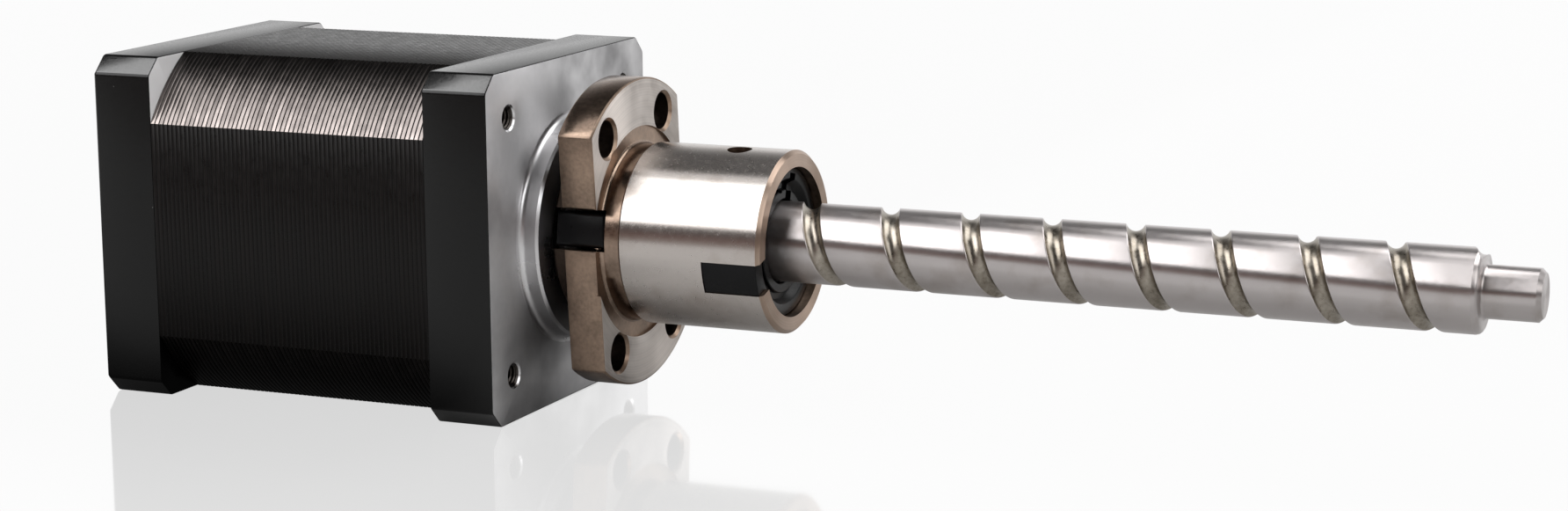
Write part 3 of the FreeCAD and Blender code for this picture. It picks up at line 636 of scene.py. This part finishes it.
# painted shade: dark steel for the flange's hole walls and the hub behind the flange
holeShadeSteel = brownedSteel("steel darkened as painted shade in holes and on the hub", "#4d423b", dark="#2e2723", rough=0.45)
nutTurned = turnedSteel("faced hardened steel", "#d2cac4", rough=0.48, ringWidth=0.25)
endTurned = turnedSteel("faced steel with brown scale", "#b8a292", rough=0.36, ringWidth=0.25)
screwGround = groundSteel("ground screw steel", "#c4bebd", stain="#978b82", rough=0.29)
screwGroove = brownedSteel("ground groove with oil film", "#b6aea3", dark="#7c7468", rough=0.3)
blackAcetal = mouldedPlastic("black acetal", "#08080a", rough=0.32, shine=0.2, texture=0.25)
socketNylon = mouldedPlastic("white nylon", "#d9d5c8", rough=0.42, shine=0.4, texture=0.3)
bobbinNylon = mouldedPlastic("natural glass-filled nylon", "#c9bda3", rough=0.5, shine=0.4, texture=0.4)
sealRubber = mouldedPlastic("nitrile rubber", "#141414", rough=0.62, shine=0.4, texture=0.3)
# painted shade: the tapped holes and their thread ridges made dark
shadedTappedAluminium = plainMetal("tapped aluminium darkened as painted shade", "#423e3b", rough=0.3, grainSize=0.3)
copperWire = plainMetal("enamelled copper", "#b06a3c", rough=0.34, grainSize=0.3)
zincSteel = plainMetal("zinc-plated steel", "#b9b7ae", rough=0.3, grainSize=0.5)
bearingSteel = plainMetal("polished bearing steel", "#b7b6b4", rough=0.14, grainSize=0.6)
cageSteel = plainMetal("pressed cage steel", "#a4a19b", rough=0.3, grainSize=0.4)
coreSteel = plainMetal("stamped silicon steel", "#7d7a77", rough=0.4, grainSize=0.5)
magnetMetal = plainMetal("nickel-plated magnet", "#9d9a96", rough=0.25, grainSize=0.5)
tinnedBrass = plainMetal("tinned brass", "#c8c6bf", rough=0.25, grainSize=0.3)
print("materials made")


# CAD nodes that keep their shape and get a finish

keptNodes = {
    "stator_laminations": sheetSides,
    "housing_screws": zincSteel,
    "front_winding_bobbin": bobbinNylon,
    "rear_winding_bobbin": bobbinNylon,
    "coil_windings": copperWire,
    "lead_socket": socketNylon,
    "socket_pins": tinnedBrass,
    "front_bearing_outer_ring": bearingSteel,
    "rear_bearing_outer_ring": bearingSteel,
    "front_bearing_inner_ring": bearingSteel,
    "rear_bearing_inner_ring": bearingSteel,
    "front_bearing_balls": bearingSteel,
    "rear_bearing_balls": bearingSteel,
    "front_bearing_cage": cageSteel,
    "rear_bearing_cage": cageSteel,
    "front_bearing_seal": sealRubber,
    "bearing_preload_washer": zincSteel,
    "front_rotor_core": coreSteel,
    "rear_rotor_core": coreSteel,
    "rotor_magnet": magnetMetal,
    "rotor_spacer": coreSteel,
    "recirculating_balls": bearingSteel,
}
for nodeName, finish in keptNodes.items():
    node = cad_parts[nodeName]
    node.data.materials.clear()
    node.data.materials.append(finish)
print("kept nodes finished:", len(keptNodes))


# end caps: painted all over, then faced bare where they meet other parts, except the rear cap's lower
# corners, which stay black as painted shade

capSettings = {
    "half": 21.15 * mm,
    "corner": 2.1 * mm,
    "cornerTilt": 0.5,
    "longEdge": 0.35 * mm,
    "longSteps": 4,
    "rimEdge": 0.12 * mm,
    "rimSteps": 2,
    "smooth": 32,
    "frontFace": 0.0,
    "stackRear": -46.3 * mm,
    "bareAboveShadedBelow": 0.1 * mm,
    "pilotRadius": 13.5 * mm,
    "pilotFoot": 0.82 * mm,
    "tapped": 15.5 * mm,
    "tappedReach": 1.6 * mm,
    "tappedEnd": -5.0 * mm,
    "bulge": 0.2 * mm,
    "near": 0.03 * mm,
}


def onCapSide(point, s):
    y, z = abs(point.y), abs(point.z)
    onFlat = max(y, z) > s["half"] - s["bulge"]
    onCorner = y + z > 2 * s["half"] - s["corner"] - s["bulge"]
    return onFlat or onCorner


def onCapCorner(corners, normal):
    return min(abs(normal.y), abs(normal.z)) > capSettings["cornerTilt"]


def roundCap(cap, s):        # long edges first, then the rims at both ends
    onSide = lambda e: onCapSide(middleOf(e), s)
    alongX = lambda e: abs((e.verts[0].co - e.verts[1].co).normalized().x)
    roundEdges(cap, s["longEdge"], s["longSteps"], lambda e: onSide(e) and alongX(e) > facing)
    roundEdges(cap, s["rimEdge"], s["rimSteps"], lambda e: onSide(e) and alongX(e) < sideOn)
    smoothOut(cap, s["smooth"])


def makeFrontCap(s):
    cap = copyNode("front_end_cap", "front_cap")
    roundCap(cap, s)
    bare = lambda c, n: min(p.x for p in c) > s["frontFace"] - s["near"]
    turned = lambda c, n: bare(c, n) and max(map(fromAxis, c)) < s["pilotRadius"] + s["pilotFoot"]
    inside = lambda c, n: not any(onCapSide(p, s) for p in c) and not bare(c, n)
    fromHole = lambda p: math.hypot(abs(p.y) - s["tapped"], abs(p.z) - s["tapped"])
    inHole = lambda p: fromHole(p) < s["tappedReach"] and p.x > s["tappedEnd"]
    tapped = lambda c, n: inside(c, n) and all(map(inHole, c))
    dress(cap, enamel, [
        (cornerEnamel, onCapCorner),
        (facedAluminium, bare),
        (turnedAluminium, turned),
        (turnedAluminium, inside),
        (shadedTappedAluminium, tapped)])
    seat(cap, "motor", "painted_cap", "front_end_cap")


def makeRearCap(s):
    cap = copyNode("rear_end_cap", "rear_cap")
    roundCap(cap, s)
    selectWhere(cap, "faces", lambda f: f.normal.x > facing)
    bpy.ops.mesh.bisect(plane_co=(0, 0, 0), plane_no=(0, 0, 1), threshold=s["near"])
    editDone()
    atStack = lambda c, n: n.x > facing and min(p.x for p in c) > s["stackRear"] - s["near"]
    faced = lambda c, n: atStack(c, n) and max(p.z for p in c) > s["bareAboveShadedBelow"]        # black enamel below that, as painted shade on the lower corners
    inside = lambda c, n: not any(onCapSide(p, s) for p in c) and n.x > -facing
    dress(cap, enamel, [(cornerEnamel, onCapCorner), (turnedAluminium, inside), (castAluminium, faced)])
    seat(cap, "motor", "painted_cap", "rear_end_cap")


makeFrontCap(capSettings)
makeRearCap(capSettings)
print("end caps made")


# lamination edges: one sheet's rim, repeated along the stack

sheetSettings = {
    "front": -8.4 * mm,
    "length": 37.9 * mm,
    "count": 62,
    "gap": 0.07 * mm,
    "half": 21.135 * mm,
    "cornerRadius": 24.93 * mm,
    "cornerSides": 144,
    "cornerTool": 2.0 * mm,
    "rim": 0.5 * mm,
    "arcEdge": 0.07 * mm,
    "arcSteps": 2,
    "flatEdge": 0.05 * mm,
    "flatSteps": 1,
    "nearFace": 0.01 * mm,
    "nearArc": 0.03 * mm,
    "nearFlat": 0.02 * mm,
    "rubbedDepth": 0.2 * mm,
    "rubbedTilt": 0.6,
    "smooth": 40,
}


def makeLaminations(s):
    pitch = s["length"] / s["count"]
    thick = pitch - s["gap"]
    middle = s["front"] - pitch / 2
    bpy.ops.object.select_all(action="DESELECT")
    bpy.ops.mesh.primitive_cube_add(size=1.0, location=(middle, 0, 0))
    sheet = bpy.context.object
    sheet.name = "lamination_edges"
    sheet.scale = (thick, 2 * s["half"], 2 * s["half"])
    settle(sheet)
    bpy.ops.mesh.primitive_cylinder_add(
        vertices=s["cornerSides"], radius=s["cornerRadius"], depth=s["cornerTool"], location=(middle, 0, 0),
        rotation=(0, math.pi / 2, 0))
    corner = bpy.context.object
    applyModifier(sheet, "BOOLEAN", {"operation": "INTERSECT", "object": corner, "solver": "EXACT"})
    bpy.data.objects.remove(corner)
    selectWhere(sheet, "faces", lambda f: abs(f.normal.x) > facing)
    bpy.ops.mesh.inset(thickness=s["rim"], depth=0)
    bpy.ops.mesh.bridge_edge_loops()        # the two inset faces become the wall inside the rim
    editDone()
    atFace = lambda e: abs(abs(middleOf(e).x - middle) - thick / 2) < s["nearFace"]
    onArc = lambda e: fromAxis(middleOf(e)) > s["cornerRadius"] - s["nearArc"]
    onFlat = lambda e: max(abs(middleOf(e).y), abs(middleOf(e).z)) > s["half"] - s["nearFlat"]
    roundEdges(sheet, s["arcEdge"], s["arcSteps"], lambda e: atFace(e) and onArc(e))
    roundEdges(sheet, s["flatEdge"], s["flatSteps"], lambda e: atFace(e) and onFlat(e))
    smoothOut(sheet, s["smooth"])
    applyModifier(sheet, "ARRAY", {
        "count": s["count"], "use_relative_offset": False, "use_constant_offset": True,
        "constant_offset_displace": (-pitch, 0, 0)})
    atCorner = lambda c: fromAxis(sum(c, Vector()) / len(c)) > s["cornerRadius"] - s["rubbedDepth"]
    rubbed = lambda c, n: atCorner(c) and abs(n.x) < s["rubbedTilt"]
    dress(sheet, sheetSides, [(sheetCorners, rubbed)])
    seat(sheet, "motor", "lamination_steel")


makeLaminations(sheetSettings)
print("laminations stacked")


# ball nut: edges broken, and each surface finished by how it was made, with painted shade in the flange holes
# and on the hub

nutSettings = {
    "radius": 11.0 * mm,
    "bodyStart": 12.0 * mm,
    "flangeStart": 5.2 * mm,
    "flangeFront": 9.7 * mm,
    "flangeRadius": 18.75 * mm,
    "flatDistance": 12.0 * mm,
    "turn": math.radians(5),
    "neckStart": 9.29 * mm,
    "neckFillet": 0.25 * mm,
    "neckTilt": 0.95,
    "holeBreak": 0.35 * mm,
    "edge": 0.22 * mm,
    "edgeSteps": 2,
    "endDepth": 0.6 * mm,
    "endTilt": 0.3,
    "smooth": 30,
    "near": 0.05 * mm,
}


def onFlangeEdge(point, s):
    across = abs(point.y * math.cos(s["turn"]) + point.z * math.sin(s["turn"]))
    onRim = fromAxis(point) > s["flangeRadius"] - s["near"]
    return onRim or across > s["flatDistance"] - s["near"]


def makeNut(s):
    nut = copyNode("ball_nut", "nut_steel_body")
    roundEdges(nut, s["edge"], s["edgeSteps"], lambda e: onFlangeEdge(middleOf(e), s))
    smoothOut(nut, s["smooth"])
    onBody = lambda p: p.x > s["bodyStart"] - s["near"] and abs(fromAxis(p) - s["radius"]) < s["near"]
    ground = lambda c, n: all(map(onBody, c))
    atFace = lambda p: min(abs(p.x - s["flangeFront"]), abs(p.x - s["flangeStart"])) < s["near"]
    faced = lambda c, n: abs(n.x) > facing and all(map(atFace, c))
    atRim = lambda p: fromAxis(p) > s["flangeRadius"] - s["near"]
    atNeck = lambda p: fromAxis(p) < s["radius"] + s["neckFillet"] and s["neckStart"] < p.x < s["bodyStart"]
    onNeck = lambda c, n: all(map(atNeck, c)) and n.x < s["neckTilt"]
    turned = lambda c, n: all(map(atRim, c)) or onNeck(c, n)
    holeFront = s["flangeFront"] - s["holeBreak"] + s["near"]
    inFlange = lambda p: fromAxis(p) > s["radius"] + s["near"] and p.x < holeFront
    inHole = lambda c, n: abs(n.x) < sideOn and all(inFlange(p) and not onFlangeEdge(p, s) for p in c)
    onHub = lambda c, n: max(p.x for p in c) < s["flangeStart"] + s["near"]
    # painted shade: hole walls and the hub behind the flange
    inPaintedShade = lambda c, n: inHole(c, n) or onHub(c, n)
    farEnd = max(v.co.x for v in nut.data.vertices)
    atEnd = lambda c, n: n.x > s["endTilt"] and min(p.x for p in c) > farEnd - s["endDepth"]
    dress(nut, nutBrowned, [
        (nutGround, ground),
        (nutTurned, faced),
        (rimBrowned, turned),
        (holeShadeSteel, inPaintedShade),
        (endTurned, atEnd)])
    seat(nut, "nut", "nut_steel", "ball_nut")


makeNut(nutSettings)
print("nut made")


# plastic ball deflectors, with moulded edges

deflectorSettings = {
    "flange_end_deflector": {"edge": 0.5 * mm, "steps": 3, "beyond": 10.0 * mm, "smooth": 30},
    "free_end_deflector": {"edge": 0.12 * mm, "steps": 3, "beyond": 10.6 * mm, "smooth": 30},
}


def makeDeflector(nodeName, s):
    block = copyNode(nodeName, nodeName + "_moulded")
    roundEdges(block, s["edge"], s["steps"], lambda e: fromAxis(middleOf(e)) > s["beyond"])
    smoothOut(block, s["smooth"])
    dress(block, blackAcetal)
    seat(block, "nut", "black_plastic", nodeName)


for nodeName, deflectorValues in deflectorSettings.items():
    makeDeflector(nodeName, deflectorValues)
print("deflectors made")


# wiper: a round dish with a notch and a hooked pocket

wiperSettings = {        # sizes in millimetres
    "profile": [        # x and radius round the ring
        (26.85, 5.1), (26.85, 8.95), (28.73, 8.95), (28.85, 8.83), (28.85, 7.62), (28.77, 7.5), (28.0, 7.12),
        (27.85, 6.95), (27.85, 6.3), (27.93, 6.2), (28.4, 6.2), (28.5, 6.1), (28.5, 5.2), (28.42, 5.1)],
    "seed": 0.01,
    "steps": 120,
    "smooth": 35,
    "notch": {"size": (1.8, 3.42, 1.6), "x": 28.35, "radius": 6.51, "angle": 75.0},
    "hook": {
        "size": (1.4, 0.75, 0.02),
        "x": 28.45,
        "start": (-0.75, 5.9),        # this and the next are y and z
        "middle": (-2.0, 5.9),
        "steps": 12,
        "tail": -1.9,
    },
}


def cutAway(piece, tool):
    applyModifier(piece, "BOOLEAN", {"operation": "DIFFERENCE", "object": tool, "solver": "EXACT"})
    bpy.data.objects.remove(tool)


def makeDish(s):        # a point drawn along the profile, which is then spun round the screw's axis
    x, radius = s["profile"][-1]
    bpy.ops.object.select_all(action="DESELECT")
    bpy.ops.mesh.primitive_plane_add(size=s["seed"] * mm, location=(x * mm, 0, radius * mm))
    dish = bpy.context.object
    dish.name = "free_end_wiper_moulded"
    settle(dish)
    selectWhere(dish, "verts", lambda v: True)
    bpy.ops.mesh.merge(type="CENTER")
    for nextX, nextRadius in s["profile"]:
        step = ((nextX - x) * mm, 0, (nextRadius - radius) * mm)
        bpy.ops.mesh.extrude_region_move(TRANSFORM_OT_translate={"value": step})
        x, radius = nextX, nextRadius
    bpy.ops.mesh.select_all(action="SELECT")
    bpy.ops.mesh.remove_doubles(threshold=weld)
    bpy.ops.mesh.spin(steps=s["steps"], angle=2 * math.pi, center=(0, 0, 0), axis=(1, 0, 0))
    bpy.ops.mesh.select_all(action="SELECT")
    bpy.ops.mesh.remove_doubles(threshold=weld)
    bpy.ops.mesh.normals_make_consistent(inside=False)
    editDone()
    return dish


def makeNotchTool(s):
    turn = math.radians(s["angle"])
    place = Vector((s["x"], s["radius"] * math.cos(turn), s["radius"] * math.sin(turn))) * mm
    bpy.ops.object.select_all(action="DESELECT")
    bpy.ops.mesh.primitive_cube_add(size=mm, location=place, rotation=(turn, 0, 0), scale=s["size"])
    return bpy.context.object


def makeHookTool(s):        # a thin plate spun through a quarter turn, then drawn out straight
    startY, startZ = s["start"]
    middleY, middleZ = s["middle"]
    bpy.ops.object.select_all(action="DESELECT")
    bpy.ops.mesh.primitive_cube_add(
        size=mm, location=(s["x"] * mm, startY * mm, startZ * mm), scale=s["size"])
    hook = bpy.context.object
    settle(hook)
    selectWhere(hook, "faces", lambda f: f.normal.z > facing)
    bpy.ops.mesh.spin(
        steps=s["steps"], angle=math.pi / 2, center=(0, middleY * mm, middleZ * mm), axis=(-1, 0, 0))
    bpy.ops.mesh.extrude_region_move(TRANSFORM_OT_translate={"value": (0, s["tail"] * mm, 0)})
    bpy.ops.mesh.select_all(action="SELECT")
    bpy.ops.mesh.normals_make_consistent(inside=False)
    editDone()
    return hook


def makeWiper(s):
    wiper = makeDish(s)
    cutAway(wiper, makeNotchTool(s["notch"]))
    cutAway(wiper, makeHookTool(s["hook"]))
    smoothOut(wiper, s["smooth"])
    dress(wiper, blackAcetal)
    seat(wiper, "nut", "black_plastic", "free_end_wiper")


makeWiper(wiperSettings)
print("wiper made")


# thread ridges in the four tapped holes

tapSettings = {
    "holes": 15.5 * mm,
    "start": -4.5 * mm,
    "pitch": 0.5 * mm,
    "turns": 8,
    "steps": 28,
    "wall": 1.27 * mm,
    "ridge": 0.26 * mm,
    "sides": 3,
    "flatten": 0.6,
    "smooth": 40,
}


def makeTappedThreads(s):
    bpy.ops.object.select_all(action="DESELECT")
    bpy.ops.mesh.primitive_circle_add(
        vertices=s["sides"], radius=s["ridge"], location=(s["start"], 0, s["wall"]),
        rotation=(-math.pi / 2, 0, 0))
    ridge = bpy.context.object
    ridge.name = "tapped_hole_threads"
    ridge.scale = (1, s["flatten"], 1)
    settle(ridge)
    applyModifier(ridge, "SCREW", {
        "axis": "X", "angle": 2 * math.pi, "screw_offset": s["pitch"], "steps": s["steps"],
        "render_steps": s["steps"], "iterations": s["turns"]})
    selectWhere(ridge, "verts", lambda v: True)
    bpy.ops.mesh.remove_doubles(threshold=weld)
    bpy.ops.mesh.select_all(action="DESELECT")
    bpy.ops.mesh.select_non_manifold()
    bpy.ops.mesh.fill_holes(sides=s["sides"])        # closes both ends of the ridge
    bpy.ops.mesh.select_all(action="SELECT")
    bpy.ops.mesh.normals_make_consistent(inside=False)
    bpy.ops.transform.translate(value=(0, -s["holes"], -s["holes"]))
    bpy.ops.mesh.duplicate_move(TRANSFORM_OT_translate={"value": (0, 2 * s["holes"], 0)})
    bpy.ops.mesh.select_all(action="SELECT")
    bpy.ops.mesh.duplicate_move(TRANSFORM_OT_translate={"value": (0, 0, 2 * s["holes"])})
    editDone()
    smoothOut(ridge, s["smooth"])
    dress(ridge, shadedTappedAluminium)
    seat(ridge, "motor", "painted_cap")


makeTappedThreads(tapSettings)
print("tapped holes threaded")


# ball screw: one groove profile swept into a thread, then kept only inside the turned blank

screwSettings = {
    "radius": 4.8 * mm,
    "lead": 10.0 * mm,
    "ballCircle": 5.15 * mm,
    "grooveRadius": 1.12 * mm,
    "grooveSides": 64,
    "grooveTop": 2.261 * mm,        # the groove's middle is straight up here, and again every lead
    "turnsBehind": 7,
    "turns": 21,
    "steps": 72,
    "cutOff": (-60.0 * mm, 130.0 * mm),
    "near": 0.0001 * mm,
    "lip": 0.11 * mm,
    "lipSteps": 4,
    "threadStart": 1.4 * mm,
    "grooveLimit": 4.74 * mm,
    "grooveEnd": 111.7 * mm,
    "smooth": 30,
    "blankSides": 120,
    "blankDisc": 0.1,        # this and the rest are in millimetres
    "blankStart": (-52.2, 2.5),
    "blank": [        # x and radius of each step
        (-46.9, 2.5), (-46.9, 4.0), (1.4, 4.0), (1.4, 4.95), (111.3, 4.95), (111.5, 4.81), (111.8, 4.74),
        (112.02, 4.56), (112.15, 4.34), (112.2, 4.1),
        (112.2, 3.35), (112.25, 3.17), (112.37, 3.05), (112.55, 3.0), (118.2, 3.0), (118.7, 2.5)],
}


def makeBlank(s):        # a disc whose front face is pulled along and resized, step after step
    x, radius = s["blankStart"]
    disc = s["blankDisc"]
    bpy.ops.object.select_all(action="DESELECT")
    bpy.ops.mesh.primitive_cylinder_add(
        vertices=s["blankSides"], radius=radius * mm, depth=disc * mm, location=((x + disc / 2) * mm, 0, 0),
        rotation=(0, math.pi / 2, 0))
    blank = bpy.context.object
    settle(blank)
    x = x + disc
    selectWhere(blank, "faces", lambda f: f.normal.x > facing)
    for nextX, nextRadius in s["blank"]:
        bpy.ops.mesh.extrude_region_move(TRANSFORM_OT_translate={"value": ((nextX - x) * mm, 0, 0)})
        share = nextRadius / radius
        bpy.ops.transform.resize(value=(1, share, share), center_override=(nextX * mm, 0, 0))
        x, radius = nextX, nextRadius
    editDone()
    return blank


def makeGroove(s, middle):        # only the groove's arc, up to the outside of the screw
    slant = math.hypot(2 * math.pi * s["ballCircle"], s["lead"]) / (2 * math.pi * s["ballCircle"])
    bpy.ops.object.select_all(action="DESELECT")
    bpy.ops.mesh.primitive_circle_add(
        vertices=s["grooveSides"], radius=s["grooveRadius"], fill_type="NGON",
        location=(middle, 0, s["ballCircle"]), rotation=(math.pi / 2, 0, 0))
    groove = bpy.context.object
    groove.name = "ball_screw_ground"
    groove.scale = (slant, 1, 1)
    settle(groove)
    selectWhere(groove, "verts", lambda v: True)
    bpy.ops.mesh.bisect(
        plane_co=(middle, 0, s["radius"]), plane_no=(0, 0, 1), clear_outer=True, threshold=s["near"])
    bpy.ops.mesh.select_all(action="SELECT")
    bpy.ops.mesh.delete(type="ONLY_FACE")
    editDone()
    selectWhere(groove, "edges", lambda e: middleOf(e).z > s["radius"] - weld)
    bpy.ops.mesh.delete(type="EDGE")
    editDone()
    return groove


def makeThread(s):
    middle = s["grooveTop"] - s["turnsBehind"] * s["lead"]
    thread = makeGroove(s, middle)
    atTop = lambda v: v.co.z > s["radius"] - weld
    for side in (-1, 1):        # the ground crest on each side, as far as halfway to the next turn
        tops = [v.co.x for v in thread.data.vertices if atTop(v)]
        edgeX = min(tops, key=lambda x: abs(x - middle - side * s["lead"] / 4))
        corner = lambda v: abs(v.co.x - edgeX) < weld and atTop(v)
        selectWhere(thread, "verts", corner)
        reach = middle + side * s["lead"] / 2 - edgeX
        bpy.ops.mesh.extrude_region_move(TRANSFORM_OT_translate={"value": (reach, 0, 0)})
        editDone()
        selectWhere(thread, "verts", corner)
        bpy.ops.mesh.bevel(offset=s["lip"], segments=s["lipSteps"], affect="VERTICES")
        editDone()
    applyModifier(thread, "SCREW", {
        "axis": "X", "angle": 2 * math.pi, "screw_offset": s["lead"], "steps": s["steps"],
        "render_steps": s["steps"], "iterations": s["turns"]})
    selectWhere(thread, "verts", lambda v: True)
    bpy.ops.mesh.remove_doubles(threshold=weld)        # each turn joins the next along the crest
    for cutX, way in zip(s["cutOff"], (-1, 1)):
        bpy.ops.mesh.select_all(action="SELECT")
        bpy.ops.mesh.bisect(
            plane_co=(cutX, 0, 0), plane_no=(way, 0, 0), use_fill=True, clear_outer=True, threshold=s["near"])
    bpy.ops.mesh.select_all(action="SELECT")
    bpy.ops.mesh.normals_make_consistent(inside=False)
    editDone()
    return thread


def makeScrew(s):
    screw = makeThread(s)
    blank = makeBlank(s)
    applyModifier(screw, "BOOLEAN", {"operation": "INTERSECT", "object": blank, "solver": "EXACT"})
    bpy.data.objects.remove(blank)
    smoothOut(screw, s["smooth"])
    inThread = lambda p: s["threadStart"] < p.x < s["grooveEnd"] and fromAxis(p) < s["grooveLimit"]
    groove = lambda c, n: all(map(inThread, c))
    dress(screw, screwGround, [(screwGroove, groove)])
    seat(screw, "screw", "screw_steel", "ball_screw")


makeScrew(screwSettings)
print("screw made")
